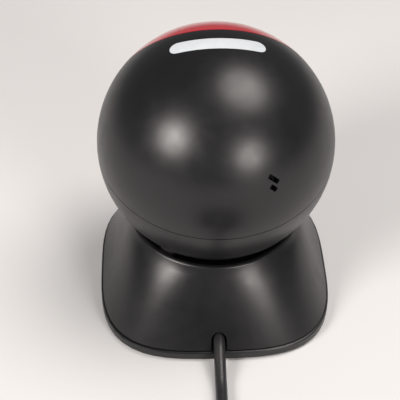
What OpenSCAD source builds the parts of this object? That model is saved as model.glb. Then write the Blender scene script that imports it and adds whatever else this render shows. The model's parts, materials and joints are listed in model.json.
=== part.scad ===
// Hands-free barcode scanner: a ball head that tilts in the cup of a flared, weighted base.
// The origin is the middle of the base on the table. +Z is up, the window looks towards -Y and the
// cable leaves at +Y. The head is drawn at its resting tilt.

/* [Base] */
// Width of the base plate, side to side
base_w = 99; // [90:0.5:125]
// Depth of the base plate, front to back
base_d = 103.5; // [92:0.5:125]
// Squareness of the plan outline, from 2 for an ellipse
base_square = 3.25; // [2.5:0.05:5]
// Height of the base plate's side, with the feet below it
plate_h = 5; // [4:0.1:8]
// Floor of the base plate
plate_floor = 2; // [1.6:0.1:2.6]
// Ledge of the plate that shows outside the base shell
ledge = 0.8; // [0.4:0.1:2]
// Shadow gap between the plate and the base shell
base_gap = 0.5; // [0.3:0.1:1]
// Wall of the base shell and of its cup
base_wall = 2.2; // [1.6:0.1:3]
// Hollowness of the flank, from 0 for a straight one
flank_hollow = 0.4; // [0:0.05:0.8]
// Radius of the rounded rim of the cup
rim_round = 1.6; // [0.8:0.1:2.4]
// Radius of the rubber feet
foot_r = 5.5; // [4:0.5:7]
// Height that the feet stand proud of the plate
foot_proud = 0.6; // [0.3:0.1:1]
// Thickness of the steel ballast
ballast_t = 6; // [3:0.5:6.5]

/* [Ball] */
// Diameter of the ball
ball_d = 96; // [80:0.5:115]
// Height of the ball's lowest point above the table
ball_lift = 27; // [26:0.5:34]
// Depth of the cup, from the ball's lowest point to the rim
cup_depth = 11; // [8:0.5:16]
// Gap between the ball and its cup
cup_gap = 2.1; // [1.6:0.1:3]
// Wall of the two half shells
shell_wall = 2.2; // [1.6:0.1:3]
// Gap that shows between the moulded parts of the head
seam_gap = 0.35; // [0.2:0.05:0.6]
// Tilt of the head as it stands, front up
rest_tilt = 12.6; // [-20:0.1:20]
// Furthest tilt of the head, up and down
tilt_max = 20; // [10:1:22]

/* [Front] */
// Angle of the window's axis above the seam between the half shells
face_up = 7.4; // [0:0.1:12]
// Depth of the red ring, from its flat front to its rear edge
ring_depth = 14.3; // [10:0.1:16]
// Radius of the window's clear opening
window_r = 22; // [18:0.5:27]
// Width of the ring's flat front round the window
ring_flat = 5.1; // [4.5:0.1:7]
// Thickness of the window
window_t = 2; // [1.5:0.1:2.5]

/* [Status light and sound slots] */
// Width of the light bar
bar_w = 6.3; // [5:0.1:9]
// Distance of the light bar's middle behind the ring's rear edge
bar_behind = 9.5; // [7:0.1:14]
// Half of the angle between the middles of the light bar's round ends
bar_angle = 19.9; // [10:0.1:30]
// Width of the sound slots
slot_w = 1.9; // [1.2:0.05:2.5]
// Slant of the sound slots
slot_slant = 51; // [0:0.5:60]

/* [Cable] */
// Diameter of the cable
cable_d = 4.8; // [4:0.1:5.6]
// Width of the arch that the cable leaves by
arch_w = 6.4; // [6:0.1:8]

/* [Hidden] */
$fn = 96;

BLACK = [0.13, 0.13, 0.14];
DARK = [0.07, 0.07, 0.075];
RED = [0.72, 0.05, 0.09];
WHITE = [0.93, 0.95, 0.97];
STEEL = [0.72, 0.73, 0.75];
BOARD = [0.05, 0.30, 0.16];
SMOKE = [0.20, 0.06, 0.07];
RUBBER = [0.10, 0.10, 0.10];

// Clearances
fit = 0.1;             // between parts that locate each other
run = 0.3;             // between parts that slide on the ball's curves
eps = 0.5;             // how far a cutter runs past a face

// Ball and cup
ball_r = ball_d / 2;
ball_h = ball_lift + ball_r;
shell_in = ball_r - shell_wall;
cup_r = ball_r + cup_gap;
cup_out = cup_r + base_wall;
rim_h = ball_lift + cup_depth;
rim_r = sqrt(cup_r * cup_r - (ball_h - rim_h) * (ball_h - rim_h));

// Base
shell_z = plate_h + base_gap;
flank_top_r = rim_r + 0.4 + rim_round * cos(30);
flank_top_z = rim_h - rim_round + rim_round * sin(30);
plan_sides = 72;
floor_z = foot_proud + plate_floor;
spigot_t = 1.6;
spigot_h = 2;
spigot_at = (flank_top_z - plate_h - spigot_h) / (flank_top_z - shell_z);
foot_x = base_w / 2 - 15;
foot_y = base_d / 2 - 14.5;
foot_sink = 1;
post_x = base_w / 2 - 25.5;
post_y = base_d / 2 - 19.5;
post_r = 3.4;
post_top = shell_z + 8;
rib_t = 1.4;
rib_start = 24;
rib_low = 14;
m3_r = 1.5;
m3_head_r = 2.8;
m3_head_h = 1.6;
m2_r = 1;
m2_head_r = 1.9;
m2_head_h = 1.3;
ballast_x = base_w / 2 - 15.5;
ballast_front = -post_y + 7;
ballast_back = 22;
ballast_screw_x = ballast_x - 5;

// Cable exit and clamp
cable_r = cable_d / 2;
cable_z = plate_h + cable_r + 1;
arch_r = arch_w / 2;
arch_z = cable_z + 0.4;
collar_r = cable_r + 1.6;
collar_neck_r = cable_r + 0.8;
collar_back = 42;
collar_front = 28;
clamp_y = 35;
clamp_l = 3.6;
clamp_screw_x = collar_r + 2.7;
clamp_x = clamp_screw_x + 2.3;
clamp_top = cable_z + collar_r + 0.6;
lead_r = 1.6;
lead_z = floor_z + ballast_t + lead_r + 0.1;

// Tilt joint: distances from the ball's centre along the hollow boss
boss_r = 5.5;
boss_bore = 2.6;
slot_half = boss_r + 0.6;
saddle_t = 2.5;
saddle_r = 10;
spring_l = 4.4;
spring_wire_r = 0.5;
spring_r = 7.2;
spring_turns = 3.5;
nut_t = 2.4;
nut_r = 9;
saddle_end = cup_out + run + saddle_t;
spring_end = saddle_end + spring_l;
boss_end = spring_end + nut_t;
pad_r = 3.5;
pad_angle = 35;

// Buzzer behind the sound slots
buzzer_r = 5.5;
buzzer_l = 7;
buzzer_azimuth = 26.9;
buzzer_height = 27;
buzzer_depth = (shell_in - 1 - buzzer_l) * cos(buzzer_azimuth) * cos(buzzer_height);

// Head: distances from the ball's centre along the window's axis
flat_r = window_r + ring_flat;
ring_front = sqrt(ball_r * ball_r - flat_r * flat_r);
ring_back = ring_front - ring_depth;
bar_back = ring_back - bar_behind;
lip_h = 1.5;
ring_wall = 2.4;
ring_in = ball_r - ring_wall;
ring_step = 1.2;
window_seat = 1;
window_rim = 1.5;
window_back = ring_front - window_seat - window_t;
seal_t = 0.8;
carrier_front = window_back - seal_t;
carrier_r = window_r + window_rim + 1.2;
carrier_in = window_r + 0.8;
carrier_back = ring_front - 23;
ear_back = ring_back - 0.6;
ear_t = 1.6;
ear_hub_r = 3.2;
ear_room = sqrt(pow(ring_in - ring_step, 2) - pow(ear_back + ear_t, 2));
ear_r = min(carrier_r + ear_hub_r + 2.1, ear_room - ear_hub_r - fit);
ear_boss_l = 14.5;
led_board_back = carrier_back + 4;
board_t = 1.6;
led_ring_r = carrier_in - 6.3;
led_board_r = carrier_in - fit;
barrel_r = 7;
baffle_r = barrel_r + 1.6;
baffle_front = led_board_back + 12;
lens_r = 5.6;
lens_curve = 12;
barrel_front = carrier_back + 10;
lens_seat = barrel_front - 4;
housing_w = 24;
housing_h = 22;
housing_front = carrier_back + 1;
housing_back = housing_front - 12;
imager_board_back = housing_back - board_t;
main_back = max(housing_back - 14, buzzer_r + 0.7 - buzzer_depth);
main_h = 42;
main_room = shell_in - 3;
main_w = min(56, 2 * sqrt(main_room * main_room - main_back * main_back - main_h * main_h / 4));
lead_plug_low = -main_h / 2 + 1;
main_post_x = 17;
main_post_y = 13;
bar_t = 3;
bar_end_step = 0.02;    // keeps the light bar's round ends off the planes of its long sides
bar_rim_r = sqrt(ball_r * ball_r - bar_back * bar_back);
bar_lean = atan(bar_back / bar_rim_r);
bar_half = bar_rim_r * sin(bar_angle);
bar_board_top = ball_r - bar_t - 4.4;

// Sound slots: azimuth from the rear towards -X, angle above the seam, and length
SLOTS = [[27.4, 29.2, 5.2], [26.3, 24.9, 3.4]];
slot_corner = 0.45;

// Cable on the table, out to the first turn of its coil
CABLE_ROUTE = [[0, collar_back, cable_z], [0, 46, cable_z], [0, 50, 8.1], [0, 54, 7.0], [0, 58, 5.4],
    [0, 62, 3.9], [0, 66, 2.8], [0, 70, cable_r], [0, 76, cable_r], [-0.5, 82, cable_r],
    [-2.5, 88, cable_r], [-6, 93.5, cable_r], [-11, 98.5, cable_r], [-16.5, 104, cable_r],
    [-22, 109.5, cable_r]];
COIL_AT = [0, 138.5];
COIL_TURN_R = 28.8;
COIL_COLUMNS = 4;
COIL_LAYERS = 2;
coil_half = COIL_COLUMNS * cable_d / 2;
coil_h = COIL_LAYERS * cable_d;
coil_outer_r = COIL_TURN_R + coil_half - cable_r;

// Last turn, which climbs onto the coil and turns in to the plug
END_ARC_R = 18.7;
PLUG_OFFSET = 25;
END_RUN = 1;
plug_t = 8.2;
plug_w = 15.6;
plug_l = 24;
plug_tail = 8;
plug_z = coil_h + plug_t / 2;
usb_w = 12;
usb_t = 4.5;
usb_l = 18.8;
usb_wall = 0.35;
end_arc = acos((PLUG_OFFSET - END_ARC_R) / (coil_outer_r - END_ARC_R));
end_start = 90 + end_arc;
plug_y = COIL_AT[1] + PLUG_OFFSET;
end_x = COIL_AT[0] - (coil_outer_r - END_ARC_R) * sin(end_arc);
plug_x = end_x + END_RUN;

// ---------------------------------------------------------------- outlines and sweeps

// One point of a superellipse with half widths a and b and squareness n
function plan_point(a, b, n, ang) =
    let (c = abs(cos(ang)), s = abs(sin(ang)),
         k = pow(pow(c, n) + pow(s, n), -1 / n))
    [a * k * cos(ang), b * k * sin(ang)];

function plan(a, b, n) =
    [for (i = [0:plan_sides - 1]) plan_point(a, b, n, 360 * i / plan_sides)];

function lift(points, z) = [for (p = points) [p[0], p[1], z]];

// Closed solid through rings that have the same number of points and turn left about their way along
module loft(rings) {
    m = len(rings[0]);
    last = len(rings) - 1;
    polyhedron(
        points = [for (ring = rings) each ring],
        faces = concat(
            [[for (i = [0:m - 1]) i]],
            [for (k = [0:last - 1]) for (i = [0:m - 1])
                [k * m + i, (k + 1) * m + i, k * m + (i + 1) % m]],
            [for (k = [0:last - 1]) for (i = [0:m - 1])
                [k * m + (i + 1) % m, (k + 1) * m + i, (k + 1) * m + (i + 1) % m]],
            [[for (i = [m - 1:-1:0]) last * m + i]]),
        convexity = 6);
}

function unit(v) = v / norm(v);

// Ring of radius r round point p, square to direction d, which is never vertical
function tube_ring(p, d, r, sides) =
    let (side = unit(cross(d, [0, 0, 1])), down = cross(d, side))
    [for (i = [0:sides - 1]) p + r * (cos(360 * i / sides) * side + sin(360 * i / sides) * down)];

function heading(route, i) =
    unit(route[min(i + 1, len(route) - 1)] - route[max(i - 1, 0)]);

module tube(route, r, sides = 8)
    loft([for (i = [0:len(route) - 1]) tube_ring(route[i], heading(route, i), r, sides)]);

module on_head() translate([0, 0, ball_h]) rotate([-rest_tilt, 0, 0]) children();

// Local +Z is the window's axis and local +Y is up the face
module face_frame() rotate([90 - face_up, 0, 0]) children();
module on_face() on_head() face_frame() children();

// Local +Z runs from the ball's centre out through the middle of the light bar
module bar_frame() face_frame() rotate([bar_lean - 90, 0, 0]) children();

// Local +Z runs from the ball's centre down the tilt boss
module on_boss() on_head() rotate([180, 0, 0]) children();

module disc(r, low, high) translate([0, 0, low]) cylinder(r = r, h = high - low);

module ring(r, bore, low, high) difference() {
    disc(r, low, high);
    disc(bore, low - eps, high + eps);
}

module slab(w, h, low, high)
    translate([-w / 2, -h / 2, low]) cube([w, h, high - low]);

// A machine screw with its head's seat at z = 0 and its shank along -Z
module screw(shank_r, shank_l, head_r, head_h) difference() {
    union() {
        translate([0, 0, -shank_l]) cylinder(r = shank_r, h = shank_l + eps);
        cylinder(r = head_r, h = head_h);
    }
    translate([0, 0, head_h - 0.7]) cylinder(r = head_r * 0.45, h = 2, $fn = 6);
}

// ---------------------------------------------------------------- base

// Flank of the base, drawn in by inset: a circle under the rim that grows into the plate's outline
function flank_ring(t, inset) =
    let (f = t * (1 - flank_hollow) + t * t * flank_hollow,
         a = flank_top_r + (base_w / 2 - ledge - flank_top_r) * f - inset,
         b = flank_top_r + (base_d / 2 - ledge - flank_top_r) * f - inset,
         n = 2 + (base_square - 2) * pow(t, 0.8))
    lift(plan(a, b, n), flank_top_z + (shell_z - flank_top_z) * t);

module base_outer() loft(concat(
    [for (k = [10:-1:0]) flank_ring(k / 10, 0)],
    [for (a = [50:20:90]) let (r = rim_r + 0.4 + rim_round * cos(a))
        lift(plan(r, r, 2), rim_h - rim_round + rim_round * sin(a))]));

module base_hollow() loft([
    for (t = [1.02, 0.85, 0.68, 0.5, 0.3, 0.12]) flank_ring(t, base_wall)]);

module base_ribs() for (a = [0, 35, 145, 180, 215, 325]) rotate([0, 0, a])
    translate([rib_start, -rib_t / 2, rib_low]) cube([base_w, rib_t, rim_h]);

module at_posts() for (x = [-post_x, post_x]) for (y = [-post_y, post_y])
    translate([x, y, 0]) children();

module cup_slot() translate([0, 0, ball_h]) rotate([0, 90, 0]) {
    rotate([0, 0, -tilt_max]) rotate_extrude(angle = 2 * tilt_max)
        translate([ball_r, -slot_half]) square([cup_gap + base_wall + 2, 2 * slot_half]);
    for (a = [-tilt_max, tilt_max]) rotate([0, 0, a]) rotate([0, 90, 0])
        translate([0, 0, ball_r]) cylinder(r = slot_half, h = cup_gap + base_wall + 2);
}

module cable_arch() translate([0, base_d / 4, 0]) {
    translate([-arch_r, 0, 0]) cube([arch_w, base_d / 2, arch_z]);
    translate([0, 0, arch_z]) rotate([-90, 0, 0]) cylinder(r = arch_r, h = base_d / 2);
}

module base_shell() color(BLACK) difference() {
    base_outer();
    difference() {
        base_hollow();
        translate([0, 0, ball_h]) sphere(r = cup_out);
        at_posts() disc(post_r, 0, rim_h);
        base_ribs();
    }
    translate([0, 0, ball_h]) sphere(r = cup_r);
    cup_slot();
    cable_arch();
    at_posts() disc(m3_r + 0.05, 0, post_top);
}

function plate_ring(inset, z) = lift(plan(base_w / 2 - inset, base_d / 2 - inset, base_square), z);

module plate_body() loft([
    plate_ring(1, foot_proud), plate_ring(0.3, foot_proud + 0.3), plate_ring(0, foot_proud + 0.8),
    plate_ring(0, plate_h - 0.7), plate_ring(0.25, plate_h - 0.25), plate_ring(0.9, plate_h)]);

// Prism that fits inside the shell's flank at the spigot's top, drawn in by inset
module spigot(inset, low, high) translate([0, 0, low])
    linear_extrude(height = high - low)
        polygon([for (p = flank_ring(spigot_at, base_wall + fit + inset)) [p[0], p[1]]]);

module base_plate() color(BLACK) difference() {
    union() {
        difference() {
            union() {
                plate_body();
                spigot(0, plate_h - 0.2, plate_h + spigot_h);
            }
            difference() {
                spigot(spigot_t, floor_z, plate_h + spigot_h + eps);
                at_posts() disc(post_r, 0, plate_h);
                translate([-clamp_x, clamp_y - clamp_l / 2, 0]) cube([2 * clamp_x, clamp_l, cable_z - 0.1]);
            }
            at_posts() disc(post_r + fit, plate_h, plate_h + spigot_h + eps);
        }
    }
    for (x = [-foot_x, foot_x]) for (y = [-foot_y, foot_y]) translate([x, y, 0])
        disc(foot_r + fit, -eps, foot_proud + foot_sink);
    at_posts() {
        disc(m3_r + 0.15, 0, plate_h + spigot_h);
        disc(m3_head_r + 0.2, 0, foot_proud + m3_head_h + 0.3);
    }
    translate([0, clamp_y - clamp_l, cable_z]) rotate([-90, 0, 0])
        cylinder(r = collar_neck_r + 0.05, h = 2 * clamp_l);
    for (x = [-clamp_screw_x, clamp_screw_x]) translate([x, clamp_y, 0])
        disc(m2_r + 0.05, floor_z, plate_h + 8);
    for (x = [-ballast_screw_x, ballast_screw_x]) translate([x, 0, 0])
        disc(m2_r + 0.05, foot_proud + 0.8, floor_z + eps);
    translate([-arch_r, collar_back - 1, plate_h]) cube([arch_w, base_d, 8]);
}

module rubber_feet() color(RUBBER)
    for (x = [-foot_x, foot_x]) for (y = [-foot_y, foot_y]) translate([x, y, 0])
        disc(foot_r, 0, foot_proud + foot_sink);

module base_screws() color(STEEL) at_posts()
    translate([0, 0, foot_proud + m3_head_h + 0.3]) mirror([0, 0, 1])
        screw(m3_r, 10, m3_head_r, m3_head_h);

module ballast() color(STEEL) difference() {
    translate([-ballast_x, ballast_front, floor_z])
        cube([2 * ballast_x, ballast_back - ballast_front, ballast_t]);
    for (x = [-ballast_screw_x, ballast_screw_x]) translate([x, 0, 0])
        disc(m2_r + 0.2, 0, floor_z + ballast_t + eps);
}

module ballast_screws() color(STEEL)
    for (x = [-ballast_screw_x, ballast_screw_x]) translate([x, 0, floor_z + ballast_t])
        screw(m2_r, ballast_t + 1, m2_head_r, m2_head_h);

module friction_pads() color(RUBBER) intersection() {
    translate([0, 0, ball_h]) difference() {
        sphere(r = cup_r);
        sphere(r = ball_r + run);
    }
    for (a = [45:90:315]) translate([0, 0, ball_h]) rotate([0, 0, a]) rotate([0, 180 - pad_angle, 0])
        disc(pad_r, ball_r - 1, cup_r + 1);
}

module along_cable(y) translate([0, y, cable_z]) rotate([-90, 0, 0]) children();

module cable_collar() color(DARK) difference() {
    along_cable(collar_front) cylinder(r = collar_r, h = collar_back - collar_front);
    along_cable(clamp_y - clamp_l / 2 - fit) difference() {
        cylinder(r = collar_r + eps, h = clamp_l + 2 * fit);
        translate([0, 0, -eps]) cylinder(r = collar_neck_r, h = clamp_l + 2 * eps + 1);
    }
}

module cable_clamp() color(STEEL) difference() {
    translate([-clamp_x, clamp_y - clamp_l / 2, cable_z + 0.1])
        cube([2 * clamp_x, clamp_l, clamp_top - cable_z - 0.1]);
    along_cable(clamp_y - clamp_l) cylinder(r = collar_neck_r + 0.05, h = 2 * clamp_l);
    for (x = [-clamp_screw_x, clamp_screw_x]) translate([x, clamp_y, 0])
        disc(m2_r + 0.1, cable_z, clamp_top + eps);
}

module cable_clamp_screws() color(STEEL)
    for (x = [-clamp_screw_x, clamp_screw_x]) translate([x, clamp_y, clamp_top])
        screw(m2_r, clamp_top - plate_h, 1.7, m2_head_h);

// The lead that runs on from the collar, over the ballast, to under the tilt boss
module inner_lead() color(DARK) tube([[0, collar_front, cable_z], [0, collar_front - 1, cable_z],
    [0, collar_front - 3, cable_z + (lead_z - cable_z) * 0.4], [0, ballast_back + 1, lead_z - 0.1],
    [0, ballast_back - 2, lead_z], [0, 8, lead_z], [0, 0, lead_z], [0, -6, lead_z]], lead_r);

// ---------------------------------------------------------------- ball head

// A sphere whose poles lie on the window's axis
module ball(r) face_frame() sphere(r = r);

// Everything in front of the plane at distance d along the window's axis
module ahead_of(d) face_frame() translate([-ball_d, -ball_d, d])
    cube([2 * ball_d, 2 * ball_d, 2 * ball_d]);

module above(z) translate([-ball_d, -ball_d, z]) cube([2 * ball_d, 2 * ball_d, 2 * ball_d]);

module below(z) translate([-ball_d, -ball_d, z - 2 * ball_d]) cube([2 * ball_d, 2 * ball_d, 2 * ball_d]);

// Screw bosses of one half shell, in the window's frame, tied to the wall by a web
module shell_bosses(side) intersection() {
    ball(shell_in + 0.5);
    face_frame() for (a = [45, 135]) rotate([0, 0, side * a]) {
        translate([ear_r, 0, 0]) disc(ear_hub_r, ear_back - ear_boss_l, ear_back);
        translate([ear_r, -1, ear_back - ear_boss_l]) cube([ball_r, 2, ear_boss_l - 3.5]);
    }
}

module at_ears() for (a = [45:90:315]) rotate([0, 0, a]) translate([ear_r, 0, 0]) children();

module shell_boss_bores() face_frame() at_ears() disc(m2_r + 0.05, ear_back - 8, ear_back + eps);

// Shape of the light bar between two distances from the ball's centre, grown by g all round
module bar_shape(low, high, g) face_frame() intersection() {
    union() {
        rotate([0, 0, 90 - bar_angle]) rotate_extrude(angle = 2 * bar_angle)
            translate([ball_r / 2, bar_back - bar_w / 2 - g]) square([ball_r, bar_w + 2 * g]);
        for (a = [90 - bar_angle, 90 + bar_angle]) rotate([0, 0, a]) translate([ball_r / 2, 0, bar_back])
            rotate([0, 90, 0]) cylinder(r = bar_w / 2 + g - bar_end_step, h = ball_r);
    }
    difference() {
        sphere(r = high);
        sphere(r = low);
    }
}

module sound_slots() for (s = SLOTS)
    rotate([0, 0, 90 + s[0]]) rotate([0, -s[1], 0]) rotate([-slot_slant, 0, 0])
        translate([ball_r - 6, 0, 0]) rotate([0, 90, 0]) {
            a = slot_w / 2 - slot_corner;
            b = s[2] / 2 - slot_corner;
            translate([-a, -b - slot_corner, 0]) cube([2 * a, 2 * b + 2 * slot_corner, 12]);
            translate([-a - slot_corner, -b, 0]) cube([2 * a + 2 * slot_corner, 2 * b, 12]);
            for (x = [-a, a]) for (y = [-b, b]) translate([x, y, 0]) cylinder(r = slot_corner, h = 12);
        }

module upper_shell() color(BLACK) on_head() difference() {
    union() {
        difference() {
            intersection() {
                ball(ball_r);
                above(seam_gap / 2);
            }
            ball(shell_in);
            ahead_of(ring_back);
            intersection() {
                ball(ball_r - shell_wall / 2 + fit);
                below(lip_h + fit);
            }
        }
        shell_bosses(1);
        intersection() {
            ball(shell_in + 0.5);
            union() {
                bar_frame() for (x = [3.4 - bar_half, bar_half - 3.4]) for (y = [-8, 5.6])
                    translate([x, y, 0])
                        disc(1.2, bar_board_top, ball_r);
                buzzer_frame() ring(buzzer_r + 1.3, buzzer_r + fit, shell_in - 5, ball_r);
            }
        }
    }
    shell_boss_bores();
    bar_shape(shell_in - 2, ball_r + 2, fit);
    sound_slots();
}

module lower_shell() color(BLACK) on_head() difference() {
    union() {
        difference() {
            union() {
                intersection() {
                    ball(ball_r);
                    below(-seam_gap / 2);
                }
                intersection() {
                    ball(ball_r - shell_wall / 2);
                    below(lip_h);
                }
            }
            ball(shell_in);
            ahead_of(ring_back);
        }
        shell_bosses(-1);
        rotate([180, 0, 0]) disc(boss_r, shell_in - 2, boss_end);
    }
    shell_boss_bores();
    rotate([180, 0, 0]) disc(boss_bore, 0, boss_end + eps);
}

// The red ring: a zone of the ball with a flat front, a bevelled opening and a spigot into the shells
module front_ring() color(RED) on_face() difference() {
    union() {
        intersection() {
            sphere(r = ball_r);
            disc(ball_r, ring_back + seam_gap, ring_front);
        }
        intersection() {
            sphere(r = shell_in - fit);
            disc(ball_r, ring_back - 1.4, ring_front - 2);
        }
    }
    intersection() {
        sphere(r = ring_in - ring_step);
        disc(ball_r, 0, ring_back + 2);
    }
    intersection() {
        sphere(r = ring_in);
        disc(ball_r, ring_back + 1.9, carrier_front + 0.4);
    }
    disc(window_r + window_rim + fit, 0, window_back + window_t);
    disc(window_r, 0, ring_front + eps);
    translate([0, 0, ring_front - window_seat])
        cylinder(r1 = window_r, r2 = window_r + 1.4, h = window_seat + 0.01);
    translate([0, 0, ring_front - 0.6]) difference() {
        cylinder(r = ball_r, h = 1);
        cylinder(r1 = flat_r + 0.3, r2 = flat_r - 1.1, h = 1);
    }
}

module window() color(SMOKE, 0.6) on_face()
    disc(window_r + window_rim, window_back, window_back + window_t);

module window_seal() color(RUBBER) on_face()
    ring(window_r + window_rim, window_r, carrier_front, window_back);

module carrier() color(DARK) on_face() difference() {
    union() {
        disc(carrier_r, carrier_back, carrier_front);
        intersection() {
            at_ears() {
                disc(ear_hub_r, ear_back, ear_back + ear_t);
                translate([-ear_r, -ear_hub_r, ear_back]) cube([ear_r, 2 * ear_hub_r, ear_t]);
            }
            disc(ear_r + ear_hub_r, ear_back, ear_back + ear_t);
        }
    }
    disc(carrier_in, led_board_back, carrier_front + eps);
    disc(carrier_in - 2, carrier_back + 2, led_board_back + eps);
    disc(barrel_r + 0.6, carrier_back - eps, led_board_back);
    at_ears() disc(m2_r + 0.15, ear_back - eps, ear_back + ear_t + eps);
}

module carrier_screws() color(STEEL) on_face() at_ears()
    translate([0, 0, ear_back + ear_t]) screw(m2_r, 7, 1.8, m2_head_h);

module light_bar() color(WHITE) on_head() bar_shape(ball_r - bar_t, ball_r - 0.1, 0);

module bar_board() color(BOARD) on_head() bar_frame() translate([0, -1.2, 0])
    slab(2 * bar_half - 0.8, 17, bar_board_top - 1.2, bar_board_top);

module bar_leds() color(WHITE) on_head() bar_frame() for (k = [-2:2])
    translate([k * (bar_half / 2 - 2.2), -1, 0])
    slab(2.8, 2.8, bar_board_top, bar_board_top + 1);

// Local +Z runs from the ball's centre out through the middle of the sound slots
module buzzer_frame() rotate([0, 0, 90 + buzzer_azimuth]) rotate([0, 90 - buzzer_height, 0]) children();

module buzzer() color(DARK) on_head() buzzer_frame() difference() {
    disc(buzzer_r, shell_in - 1 - buzzer_l, shell_in - 1);
    disc(1, shell_in - 3, shell_in);
}

module illumination_board() color(BOARD) on_face()
    ring(led_board_r, barrel_r + 0.6, led_board_back, led_board_back + board_t);

module illumination_leds() color(WHITE) on_face() for (a = [22.5:45:359]) rotate([0, 0, a])
    translate([led_ring_r, 0, 0]) slab(2.8, 3.5, led_board_back + board_t, led_board_back + board_t + 1.9);

module light_baffle() color(DARK) on_face() rotate_extrude()
    polygon([[baffle_r, led_board_back + board_t], [baffle_r + 1.2, led_board_back + board_t],
        [baffle_r + 3.4, baffle_front], [baffle_r + 2.2, baffle_front]]);

module aimer() color(RED) on_face() translate([0, 13.4, 0]) {
    disc(1.8, led_board_back + board_t, led_board_back + board_t + 3.4);
    translate([0, 0, led_board_back + board_t + 3.4]) intersection() {
        sphere(r = 1.5);
        disc(2, -0.2, 2);
    }
}

module lens_barrel() color(DARK) on_face() difference() {
    disc(barrel_r, housing_front - 4, barrel_front);
    disc(lens_r - 1, housing_front - 5, barrel_front + eps);
    disc(lens_r, lens_seat, barrel_front + eps);
}

module lens() color([0.25, 0.3, 0.4]) on_face() intersection() {
    disc(lens_r - 0.02, lens_seat, barrel_front);
    translate([0, 0, barrel_front - 0.6 - lens_curve]) sphere(r = lens_curve);
}

module imager_housing() color(DARK) on_face() difference() {
    slab(housing_w, housing_h, housing_back, carrier_back);
    slab(14, 12, housing_back - eps, housing_front - 4);
    disc(barrel_r + 0.02, housing_front - 4, carrier_back + eps);
}

module image_sensor() color([0.3, 0.3, 0.42]) on_face() slab(9, 7, housing_back, housing_back + 1.2);

module imager_board() color(BOARD) on_face() slab(housing_w, housing_h, imager_board_back, housing_back);

module at_board_posts() for (x = [-main_post_x, main_post_x]) for (y = [-main_post_y, main_post_y])
    translate([x, y, 0]) children();

module main_board() color(BOARD) on_face() difference() {
    slab(main_w, main_h, main_back, main_back + board_t);
    at_board_posts() disc(m2_r, main_back - eps, main_back + board_t + eps);
}

module board_posts() color(STEEL) on_face() at_board_posts() union() {
    disc(2.4, main_back + board_t, carrier_back);
    disc(m2_r - 0.05, main_back - 1.5, main_back + board_t);
}

module board_chips() color(DARK) on_face() {
    translate([-8, 6, 0]) slab(14, 14, main_back - 1.4, main_back);
    translate([9.5, 7, 0]) slab(9, 11, main_back - 1.1, main_back);
    translate([10, -8, 0]) slab(6, 6, main_back - 1, main_back);
    translate([18, -4, 0]) slab(4, 4, main_back - 1, main_back);
}

module lead_plug() color(WHITE) on_face()
    translate([0, lead_plug_low + 3, 0]) slab(12, 6, main_back - 6, main_back);

// A point of the head's middle plane, given up the face and along the window's axis
function face_point(up, along) =
    [0, up * sin(face_up) - along * cos(face_up), up * cos(face_up) + along * sin(face_up)];

// The lead from the tilt boss's mouth up to its plug on the main board
module head_lead() color(DARK) on_head() tube([[0, 0.4, -boss_end + 1], [0, 0.2, -boss_end + 12],
    [0, 1, -shell_in + 5], face_point(lead_plug_low - 11, main_back - 1),
    face_point(lead_plug_low - 5.5, main_back - 2.6), face_point(lead_plug_low - 2.5, main_back - 3),
    face_point(lead_plug_low, main_back - 3)], lead_r);

// ---------------------------------------------------------------- tilt joint

module saddle_washer() color(STEEL) on_boss() difference() {
    disc(saddle_r, cup_out - 2, saddle_end);
    sphere(r = cup_out + run);
    disc(boss_r + fit, 0, saddle_end + eps);
}

module tilt_spring() color(STEEL) on_boss() tube([
    for (turn = [0:1 / 16:spring_turns]) [spring_r * cos(360 * turn), spring_r * sin(360 * turn),
        saddle_end + spring_wire_r + (spring_l - 2 * spring_wire_r) * turn / spring_turns]],
    spring_wire_r, 6);

module tilt_nut() color(STEEL) on_boss() difference() {
    translate([0, 0, spring_end]) cylinder(r = nut_r, h = nut_t, $fn = 6);
    disc(boss_r, spring_end - eps, boss_end + eps);
}

// ---------------------------------------------------------------- cable

module usb_cable() color(DARK) tube(CABLE_ROUTE, cable_r);

module usb_coil() color(DARK) translate([COIL_AT[0], COIL_AT[1], 0]) rotate_extrude()
    translate([COIL_TURN_R - coil_half, 0]) square([2 * coil_half, coil_h]);

// Height of the last turn, which climbs a layer over an eighth of a turn
function climb(ang) = coil_h - cable_r + cable_d * min(1, max(0, (360 - ang) / 45));

module usb_cable_end() color(DARK) tube(concat(
    [for (ang = [360:-15:end_start + 10])
        [COIL_AT[0] + coil_outer_r * cos(ang), COIL_AT[1] + coil_outer_r * sin(ang), climb(ang)]],
    [for (k = [0:4]) let (ang = end_start - end_arc * k / 4)
        [end_x + END_ARC_R * cos(ang), plug_y - END_ARC_R + END_ARC_R * sin(ang),
            coil_h + cable_r + (plug_z - coil_h - cable_r) * k / 4]],
    [[plug_x, plug_y, plug_z]]), cable_r);

module on_plug() translate([plug_x, plug_y, plug_z]) rotate([0, 90, 0]) children();

module usb_plug_body() color(DARK) on_plug() difference() {
    union() {
        cylinder(r1 = 2.8, r2 = 3.6, h = plug_tail);
        translate([-plug_t / 2, -plug_w / 2 + 2, plug_tail]) cube([plug_t, plug_w - 4, plug_l]);
        for (y = [-plug_w / 2 + 2, plug_w / 2 - 2]) translate([0, y, plug_tail])
            intersection() {
                translate([-plug_t / 2, -2, 0]) cube([plug_t, 4, plug_l]);
                cylinder(r = plug_t / 2 * 1.06, h = plug_l);
            }
    }
    translate([-usb_t / 2, -usb_w / 2, plug_tail + plug_l - 2]) cube([usb_t, usb_w, 3]);
}

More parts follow.
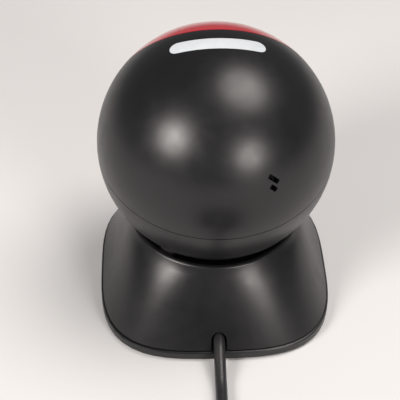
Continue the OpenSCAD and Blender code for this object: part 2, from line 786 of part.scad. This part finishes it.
module usb_plug_shell() color(STEEL) on_plug() difference() {
    translate([-usb_t / 2, -usb_w / 2, plug_tail + plug_l - 2]) cube([usb_t, usb_w, usb_l + 2]);
    translate([-usb_t / 2 + usb_wall, -usb_w / 2 + usb_wall, plug_tail + plug_l - 1.5])
        cube([usb_t - 2 * usb_wall, usb_w - 2 * usb_wall, usb_l + 2]);
    for (y = [-2.5, 2.5]) translate([-usb_t, y - 1, plug_tail + plug_l + 6])
        cube([2 * usb_t, 2, 2.5]);
}

module usb_plug_tongue() color(WHITE) on_plug()
    translate([-usb_t / 2 + usb_wall, -usb_w / 2 + usb_wall, plug_tail + plug_l - 1.5])
        cube([1.8, usb_w - 2 * usb_wall, usb_l]);

base_shell();
base_plate();
rubber_feet();
base_screws();
ballast();
ballast_screws();
friction_pads();
cable_collar();
cable_clamp();
cable_clamp_screws();
inner_lead();
upper_shell();
lower_shell();
front_ring();
window();
window_seal();
carrier();
carrier_screws();
light_bar();
bar_board();
bar_leds();
buzzer();
illumination_board();
illumination_leds();
light_baffle();
aimer();
lens_barrel();
lens();
imager_housing();
image_sensor();
imager_board();
main_board();
board_chips();
board_posts();
head_lead();
lead_plug();
saddle_washer();
tilt_spring();
tilt_nut();
usb_cable();
usb_coil();
usb_cable_end();
usb_plug_body();
usb_plug_shell();
usb_plug_tongue();
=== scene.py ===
"""Hands-free ball-head barcode scanner.

Adds the camera, the cable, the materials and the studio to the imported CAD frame.
"""
import json
import math

import bmesh
import bpy
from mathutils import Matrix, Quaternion, Vector


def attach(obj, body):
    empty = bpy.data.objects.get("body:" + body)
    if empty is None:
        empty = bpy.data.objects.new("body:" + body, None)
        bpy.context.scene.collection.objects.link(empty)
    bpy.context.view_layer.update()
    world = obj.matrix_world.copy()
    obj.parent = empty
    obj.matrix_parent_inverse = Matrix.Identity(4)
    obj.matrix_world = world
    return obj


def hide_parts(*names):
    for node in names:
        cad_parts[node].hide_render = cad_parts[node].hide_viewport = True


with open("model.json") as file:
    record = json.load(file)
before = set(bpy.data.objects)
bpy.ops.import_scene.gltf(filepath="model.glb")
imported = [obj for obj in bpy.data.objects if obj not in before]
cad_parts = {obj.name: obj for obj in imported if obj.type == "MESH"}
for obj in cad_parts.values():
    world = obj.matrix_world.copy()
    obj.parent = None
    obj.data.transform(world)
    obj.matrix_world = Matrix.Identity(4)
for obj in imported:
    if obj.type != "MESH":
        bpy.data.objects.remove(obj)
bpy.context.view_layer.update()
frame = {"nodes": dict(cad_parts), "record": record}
NODES = frame["nodes"]
SCENE = bpy.context.scene
MM = 0.001


# ---------------------------------------------------------------- camera

CAMERA_AT = Vector((0.0233, 0.3730, 0.3758))
CAMERA_TARGET = Vector((0.0062, 0.0, 0.0432))
CAMERA_ROLL = math.radians(0.56)
CAMERA_LENS = 106.55
SENSOR_WIDTH = 36.0


def make_camera():
    data = bpy.data.cameras.new("camera")
    data.lens = CAMERA_LENS
    data.sensor_width = SENSOR_WIDTH
    data.clip_start = 0.01
    data.clip_end = 20.0
    camera = bpy.data.objects.new("camera", data)
    SCENE.collection.objects.link(camera)
    camera.location = CAMERA_AT
    look = (CAMERA_TARGET - CAMERA_AT).to_track_quat("-Z", "Y")
    camera.rotation_euler = (look @ Quaternion((0, 0, 1), CAMERA_ROLL)).to_euler()
    SCENE.camera = camera


# ---------------------------------------------------------------- cable

# Lengths of the cable, its coil and its plug are in millimetres.
CABLE_D = 4.8
CABLE_ROUTE = [
    (0, 42, 8.4), (0, 46, 8.4), (0, 50, 8.1), (0, 54, 7.0), (0, 58, 5.4), (0, 62, 3.9),
    (0, 66, 2.8), (0, 70, 2.4), (0, 76, 2.4), (-0.5, 82, 2.4), (-2.5, 88, 2.4), (-6, 93.5, 2.4),
    (-11, 98.5, 2.4), (-16.5, 104, 2.4), (-22, 109.5, 2.4),
]
COIL_AT = (0.0, 138.5)
COIL_TURN_R = 28.8
COIL_COLUMNS = 4
COIL_LAYERS = 2
COIL_START = 225.0       # polar angle where the cable joins the coil, which turns clockwise
END_ARC_R = 18.7
PLUG_OFFSET = 25.0       # distance of the plug's axis from the coil's centre
PLUG_Z = COIL_LAYERS * CABLE_D + 4.1
END_RUN = 1.0            # straight run into the plug
STEPS_PER_TURN = 36
STEPS_PER_STRETCH = 6    # between two points of the route
END_ARC_STEPS = 8
COLUMN_CHANGE = 0.75     # part of a turn after which the cable moves over to the next column
LAYER_CHANGE = 0.583     # part of a turn after which it climbs to the next layer
LAYER_CLIMB = 0.167      # part of a turn that the climb takes


def smooth(t):
    t = min(1.0, max(0.0, t))
    return t * t * (3 - 2 * t)


def through(points, steps):
    """A smooth curve through the points, as a list of points."""
    pts = [Vector(p) for p in points]
    pts = [2 * pts[0] - pts[1]] + pts + [2 * pts[-1] - pts[-2]]
    out = []
    for a, b, c, d in zip(pts, pts[1:], pts[2:], pts[3:]):
        for k in range(steps):
            t = k / steps
            out.append(0.5 * (2 * b + (c - a) * t + (2 * a - 5 * b + 4 * c - d) * t ** 2
                              + (3 * b - a - 3 * c + d) * t ** 3))
    return out + [pts[-2]]


def round_at(centre, r, angle, z):
    return Vector((centre[0] + r * math.cos(angle), centre[1] + r * math.sin(angle), z))


def coil_place(turn):
    """(column, layer) of the winding at a whole turn: outside in, and then back out on top."""
    if turn < COIL_COLUMNS:
        return COIL_COLUMNS - 1 - turn, 0
    if turn < 2 * COIL_COLUMNS:
        return turn - COIL_COLUMNS, 1
    return COIL_COLUMNS - 1, 2


def coil_point(u):
    """A point of the coil's centre line, u turns from its start."""
    turn = int(u)
    part = u - turn
    column, layer = coil_place(turn)
    next_column, next_layer = coil_place(turn + 1)
    column += (next_column - column) * smooth((part - COLUMN_CHANGE) / (1 - COLUMN_CHANGE))
    layer += (next_layer - layer) * smooth((part - LAYER_CHANGE) / LAYER_CLIMB)
    r = COIL_TURN_R + CABLE_D * (column - (COIL_COLUMNS - 1) / 2)
    angle = math.radians(COIL_START - 360 * u)
    return round_at(COIL_AT, r, angle, CABLE_D * (layer + 0.5))


def cable_points():
    """The whole cable's centre line: the visible run, the coil, and the bend into the plug."""
    outer_r = COIL_TURN_R + CABLE_D * (COIL_COLUMNS - 1) / 2
    swing = outer_r - END_ARC_R
    end_arc = math.acos((PLUG_OFFSET - END_ARC_R) / swing)
    end_start = math.pi / 2 + end_arc
    turns = 2 * COIL_COLUMNS + (COIL_START - math.degrees(end_start)) / 360
    count = int(turns * STEPS_PER_TURN)
    coil = [coil_point(turns * k / count) for k in range(count + 1)]
    centre = (COIL_AT[0] - swing * math.sin(end_arc), COIL_AT[1] + swing * math.cos(end_arc))
    top_z = CABLE_D * (COIL_LAYERS + 0.5)
    end = []
    for k in range(1, END_ARC_STEPS + 1):
        part = k / END_ARC_STEPS
        angle = end_start - end_arc * part
        end.append(round_at(centre, END_ARC_R, angle, top_z + (PLUG_Z - top_z) * smooth(part)))
    end.append(end[-1] + Vector((END_RUN, 0, 0)))
    return through(CABLE_ROUTE + [coil[0]], STEPS_PER_STRETCH)[:-1] + coil + end


def tube_mesh(name, points, radius, sides=16):
    """A round tube along the points, with flat ends; its rings never twist against each other."""
    bm = bmesh.new()
    rings = []
    side = None
    last = len(points) - 1
    for k, p in enumerate(points):
        way = (points[min(k + 1, last)] - points[max(k - 1, 0)]).normalized()
        side = way.orthogonal() if side is None else side
        side = (side - way * side.dot(way)).normalized()
        other = way.cross(side)
        ring = []
        for i in range(sides):
            angle = math.tau * i / sides
            out = math.cos(angle) * side + math.sin(angle) * other
            ring.append(bm.verts.new(p + radius * out))
        rings.append(ring)
    for a, b in zip(rings, rings[1:]):
        for i in range(sides):
            face = bm.faces.new((a[i], a[(i + 1) % sides], b[(i + 1) % sides], b[i]))
            face.smooth = True
    bm.faces.new(rings[0][::-1])
    bm.faces.new(rings[-1])
    mesh = bpy.data.meshes.new(name)
    bm.to_mesh(mesh)
    bm.free()
    tube = bpy.data.objects.new(name, mesh)
    SCENE.collection.objects.link(tube)
    return tube


def make_cable():
    points = [p * MM for p in cable_points()]
    tube = tube_mesh("cable", points, CABLE_D / 2 * MM)
    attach(tube, "base")
    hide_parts("usb_cable", "usb_coil", "usb_cable_end")
    return tube


# ---------------------------------------------------------------- materials


class Finish:
    """A procedural material in the making, mapped by the piece's own coordinates in metres."""

    def __init__(self, name, color, roughness, **sockets):
        self.material = bpy.data.materials.new(name)
        self.material.use_nodes = True
        self.tree = self.material.node_tree
        self.shader = self.tree.nodes["Principled BSDF"]
        self.shader.inputs["Base Color"].default_value = (*color, 1.0)
        self.shader.inputs["Roughness"].default_value = roughness
        for socket, value in sockets.items():
            title = socket.replace("_", " ").title().replace("Ior", "IOR")
            self.shader.inputs[title].default_value = value
        self.coords = self.tree.nodes.new("ShaderNodeTexCoord").outputs["Object"]
        self.normal = None

    def link(self, a, b):
        self.tree.links.new(a, b)

    def node(self, kind, **values):
        made = self.tree.nodes.new(kind)
        for key, value in values.items():
            if key in made.inputs:
                made.inputs[key].default_value = value
            else:
                setattr(made, key, value)
        return made

    def noise(self, per_metre, detail=4.0, stretch=(1, 1, 1)):
        mapping = self.node("ShaderNodeMapping")
        mapping.inputs["Scale"].default_value = stretch
        self.link(self.coords, mapping.inputs["Vector"])
        made = self.node("ShaderNodeTexNoise", Scale=per_metre, Detail=detail)
        self.link(mapping.outputs["Vector"], made.inputs["Vector"])
        return made.outputs["Fac"]

    def spread(self, value, low, high, from_low=0.3, from_high=0.7):
        ends = {"From Min": from_low, "From Max": from_high, "To Min": low, "To Max": high}
        made = self.node("ShaderNodeMapRange", **ends)
        self.link(value, made.inputs["Value"])
        return made.outputs["Result"]

    def rough(self, value, low, high):
        self.link(self.spread(value, low, high), self.shader.inputs["Roughness"])

    def tint(self, value, dark, light):
        ramp = self.node("ShaderNodeValToRGB")
        ramp.color_ramp.elements[0].position = 0.3
        ramp.color_ramp.elements[1].position = 0.7
        ramp.color_ramp.elements[0].color = (*dark, 1.0)
        ramp.color_ramp.elements[1].color = (*light, 1.0)
        self.link(value, ramp.inputs["Fac"])
        self.link(ramp.outputs["Color"], self.shader.inputs["Base Color"])

    def bump(self, value, height_mm, strength=1.0):
        made = self.node("ShaderNodeBump", Strength=strength, Distance=height_mm * MM)
        self.link(value, made.inputs["Height"])
        if self.normal is not None:
            self.link(self.normal, made.inputs["Normal"])
        self.normal = made.outputs["Normal"]
        self.link(self.normal, self.shader.inputs["Normal"])


def black_plastic(name="black_plastic", grain=0.012):
    """Satin black moulding with a fine spark-eroded grain."""
    f = Finish(name, (0.012, 0.012, 0.013), 0.4, specular_ior_level=0.5)
    f.tint(f.noise(60, 3), (0.0034, 0.0034, 0.0043), (0.0046, 0.0045, 0.0056))
    f.rough(f.noise(220, 5), 0.32, 0.37)
    f.bump(f.noise(3500, 2), grain, 0.5)
    return f.material


def inner_plastic():
    """Dull black of the pieces inside, which the sound slots let show."""
    f = Finish("inner_plastic", (0.004, 0.004, 0.004), 0.8, specular_ior_level=0.15)
    f.tint(f.noise(90), (0.003, 0.003, 0.003), (0.005, 0.005, 0.005))
    f.bump(f.noise(2500, 2), 0.02, 0.5)
    return f.material


def red_plastic():
    """Clear-coated red moulding."""
    f = Finish("red_plastic", (0.5, 0.008, 0.02), 0.2, coat_weight=0.6, coat_roughness=0.06)
    f.tint(f.noise(45, 2), (0.44, 0.005, 0.014), (0.52, 0.008, 0.02))
    f.rough(f.noise(300, 3), 0.16, 0.24)
    f.bump(f.noise(400, 2), 0.006, 0.4)
    return f.material


def light_guide():
    """Milky status bar with a painted glow: a faint bluish emission brightens it, though the
    lamps behind it don't light it in this scene.
    """
    f = Finish("light_guide", (0.53, 0.56, 0.59), 0.35, emission_strength=0.06)
    # Painted glow: bluish-white emission on the bar itself, not light from a lamp.
    f.shader.inputs["Emission Color"].default_value = (0.9, 0.96, 1.0, 1.0)
    f.tint(f.noise(300, 3), (0.50, 0.535, 0.565), (0.55, 0.585, 0.61))
    f.bump(f.noise(2500, 2), 0.01, 0.4)
    return f.material


def window_tint():
    """Dark red acrylic, nearly black from outside."""
    f = Finish("window_tint", (0.25, 0.015, 0.02), 0.04, ior=1.49, transmission_weight=0.85,
               coat_weight=0.3, coat_roughness=0.03)
    f.rough(f.noise(120, 3), 0.02, 0.06)
    return f.material


def rubber():
    f = Finish("rubber", (0.009, 0.009, 0.009), 0.85)
    f.tint(f.noise(400), (0.006, 0.006, 0.006), (0.012, 0.012, 0.012))
    f.bump(f.noise(1800, 4), 0.04, 0.6)
    return f.material


def cable_jacket():
    """Satin PVC jacket with the faint lay of the wires inside."""
    f = Finish("cable_jacket", (0.016, 0.016, 0.017), 0.38)
    f.tint(f.noise(120, 3), (0.013, 0.013, 0.014), (0.02, 0.02, 0.021))
    f.rough(f.noise(500, 4), 0.33, 0.45)
    f.bump(f.noise(900, 3), 0.02, 0.5)
    return f.material


def steel(name, color=(0.62, 0.62, 0.64), low=0.25, high=0.4):
    f = Finish(name, color, 0.3, metallic=1.0)
    f.tint(f.noise(250, 4), tuple(0.88 * c for c in color), color)
    f.rough(f.noise(900, 4, (1, 1, 12)), low, high)
    f.bump(f.noise(2200, 3, (1, 1, 10)), 0.008, 0.4)
    return f.material


def circuit_board():
    """Green solder mask over copper tracks."""
    f = Finish("circuit_board", (0.01, 0.12, 0.05), 0.35, coat_weight=0.4)
    tracks = f.node("ShaderNodeTexBrick", Scale=140.0)
    f.link(f.coords, tracks.inputs["Vector"])
    tracks.inputs["Color1"].default_value = (0.008, 0.10, 0.04, 1)
    tracks.inputs["Color2"].default_value = (0.012, 0.14, 0.06, 1)
    tracks.inputs["Mortar"].default_value = (0.03, 0.24, 0.10, 1)
    tracks.inputs["Mortar Size"].default_value = 0.03
    f.link(tracks.outputs["Color"], f.shader.inputs["Base Color"])
    f.bump(tracks.outputs["Fac"], 0.03, 0.4)
    return f.material


def plain(name, color, roughness, vary=0.15, **sockets):
    """A moulded or cast finish with a light variation of colour and grain."""
    f = Finish(name, color, roughness, **sockets)
    dark = tuple(c * (1 - vary) for c in color)
    light = tuple(min(1.0, c * (1 + vary)) for c in color)
    f.tint(f.noise(200, 3), dark, light)
    f.bump(f.noise(1500, 2), 0.01, 0.4)
    return f.material


def make_materials():
    return {
        "black_plastic": black_plastic(),
        "inner_plastic": inner_plastic(),
        "red_plastic": red_plastic(),
        "light_guide": light_guide(),
        "window_tint": window_tint(),
        "rubber": rubber(),
        "cable_jacket": cable_jacket(),
        "screw_steel": steel("screw_steel"),
        "ballast_steel": steel("ballast_steel", (0.45, 0.45, 0.46), 0.35, 0.55),
        "circuit_board": circuit_board(),
        "led": plain("led", (0.85, 0.78, 0.5), 0.25, coat_weight=0.5),
        "aimer_red": plain("aimer_red", (0.55, 0.02, 0.02), 0.15),
        "lens_glass": plain("lens_glass", (0.35, 0.38, 0.55), 0.03, transmission_weight=0.9,
                            ior=1.6),
        "chip": plain("chip", (0.02, 0.02, 0.024), 0.5),
        "white_plastic": plain("white_plastic", (0.78, 0.78, 0.76), 0.45, 0.04),
        "plug_plastic": black_plastic("plug_plastic", 0.03),
        "plug_metal": steel("plug_metal", (0.78, 0.78, 0.8), 0.12, 0.22),
    }


# ---------------------------------------------------------------- normals of the CAD nodes

LOFTED = ("base_shell", "base_plate", "inner_lead", "head_lead", "tilt_spring")
SMOOTH_BELOW = 26        # degrees between faces that shade as one
# The base's flank and the ball, in metres.
FLANK_TOP, FLANK_FOOT = 0.0372, 0.0055
FLANK_HOLLOW = 0.4       # of the CAD's flank
FLANK_SHADED = -0.1      # as it is shaded
FLANK_FADE = 0.15        # part of its height over which the change sets in below the rim
FLANK_LIMIT = 0.8        # upward part of a normal above which a face belongs to the rim
BALL_AT = Vector((0.0, 0.0, 0.075))
BALL_R = 0.048
BALL_TOLERANCE = 5e-5
BALL_OUTWARD = 0.9       # cosine between the radius and a face of the ball's outside, at least


def smooth_corners(mesh, degrees):
    """Gives each corner the mean normal of the faces that meet there within the angle.

    Without it the lofts show their facets.
    """
    places = [tuple(round(c, 7) for c in vertex.co) for vertex in mesh.vertices]
    meeting = {}
    for poly in mesh.polygons:
        poly.use_smooth = True
        for vertex in poly.vertices:
            meeting.setdefault(places[vertex], []).append((poly.normal.copy(), poly.area))
    limit = math.cos(math.radians(degrees))
    normals = []
    for poly in mesh.polygons:
        for vertex in poly.vertices:
            mean = Vector((0, 0, 0))
            for normal, area in meeting[places[vertex]]:
                if normal.dot(poly.normal) > limit:
                    mean += normal * area
            normals.append(mean.normalized() if mean.length > 0 else poly.normal)
    mesh.normals_split_custom_set(normals)


def flank_slope(hollow, t):
    """How fast the flank widens at the part t of its way down, against a straight one."""
    return 1 - hollow + 2 * hollow * t


def fuller_flank(mesh):
    """Turns the normals of the base's outer flank as on one that bulges; no vertex moves."""
    normals = []
    for corner, loop in zip(mesh.corner_normals, mesh.loops):
        normal = corner.vector.copy()
        at = mesh.vertices[loop.vertex_index].co
        t = (FLANK_TOP - at.z) / (FLANK_TOP - FLANK_FOOT)
        if 0 < t < 1.001 and normal.xy.dot(at.xy) > 0 and 0 < normal.z < FLANK_LIMIT:
            turn = flank_slope(FLANK_SHADED, t) / flank_slope(FLANK_HOLLOW, t) - 1
            normal.z *= 1 + turn * smooth(t / FLANK_FADE)
        normals.append(normal.normalized())
    mesh.normals_split_custom_set(normals)


def round_ball(obj):
    """Points the normals of the ball's outer face straight out.

    The imported ones are wrong at the pole, where the facets meet.
    """
    mesh = obj.data
    to_world = obj.matrix_world
    turn_to_world = to_world.to_3x3()
    turn_to_mesh = to_world.inverted().to_3x3()
    from_centre = [to_world @ vertex.co - BALL_AT for vertex in mesh.vertices]
    normals = [corner.vector.copy() for corner in mesh.corner_normals]
    for poly in mesh.polygons:
        way = (turn_to_world @ poly.normal).normalized()
        for corner in poly.loop_indices:
            radial = from_centre[mesh.loops[corner].vertex_index]
            on_ball = abs(radial.length - BALL_R) < BALL_TOLERANCE
            if on_ball and way.dot(radial) > BALL_OUTWARD * BALL_R:
                normals[corner] = (turn_to_mesh @ radial).normalized()
    mesh.normals_split_custom_set(normals)


def dress_cad_nodes(materials):
    """Gives every CAD node the material of its slot, and mends the normals where they need it."""
    slots = {s["node"]: s["material_slot"] for s in frame["record"]["subparts"]}
    for name, obj in NODES.items():
        obj.data.materials.clear()
        obj.data.materials.append(materials[slots[name]])
    for name in LOFTED:
        smooth_corners(NODES[name].data, SMOOTH_BELOW)
    fuller_flank(NODES["base_shell"].data)
    for name in ("upper_shell", "lower_shell"):
        round_ball(NODES[name])


# ---------------------------------------------------------------- studio


LIT_POINT = Vector((0, 0, 0.07))
LIGHT_DISTANCE = 1.2
LIGHT_COLOR = (1.0, 0.94, 0.9)
WORLD_STRENGTH = 0.2
FLOOR_HALF = 3.0


def area_light(name, direction, size, power):
    """A round soft lamp in the direction from the scanner."""
    data = bpy.data.lights.new(name, "AREA")
    data.shape = "DISK"
    data.size = size
    data.energy = power
    data.color = LIGHT_COLOR
    light = bpy.data.objects.new(name, data)
    SCENE.collection.objects.link(light)
    light.location = LIT_POINT + Vector(direction).normalized() * LIGHT_DISTANCE
    light.rotation_euler = (LIT_POINT - light.location).to_track_quat("-Z", "Y").to_euler()


def make_floor():
    mesh = bpy.data.meshes.new("floor")
    a = FLOOR_HALF
    mesh.from_pydata([(-a, -a, 0), (a, -a, 0), (a, a, 0), (-a, a, 0)], [], [(0, 1, 2, 3)])
    floor = bpy.data.objects.new("floor", mesh)
    SCENE.collection.objects.link(floor)
    f = Finish("floor", (0.9, 0.9, 0.9), 0.9)
    f.tint(f.noise(3, 2), (0.61, 0.61, 0.61), (0.64, 0.64, 0.64))
    mesh.materials.append(f.material)


def make_studio():
    world = bpy.data.worlds.new("studio")
    world.use_nodes = True
    background = world.node_tree.nodes["Background"]
    background.inputs["Color"].default_value = (1, 1, 1, 1)
    background.inputs["Strength"].default_value = WORLD_STRENGTH
    SCENE.world = world
    SCENE.view_settings.view_transform = "Standard"

    area_light("key", direction=(0.66, 0.54, 0.52), size=0.47, power=12.5)
    area_light("top", direction=(-0.376, 0.0, 0.927), size=0.75, power=11.5)
    area_light("side", direction=(-0.47, 0.806, 0.36), size=0.43, power=7.5)
    make_floor()


make_camera()
cable = make_cable()
materials = make_materials()
dress_cad_nodes(materials)
cable.data.materials.append(materials["cable_jacket"])
make_studio()
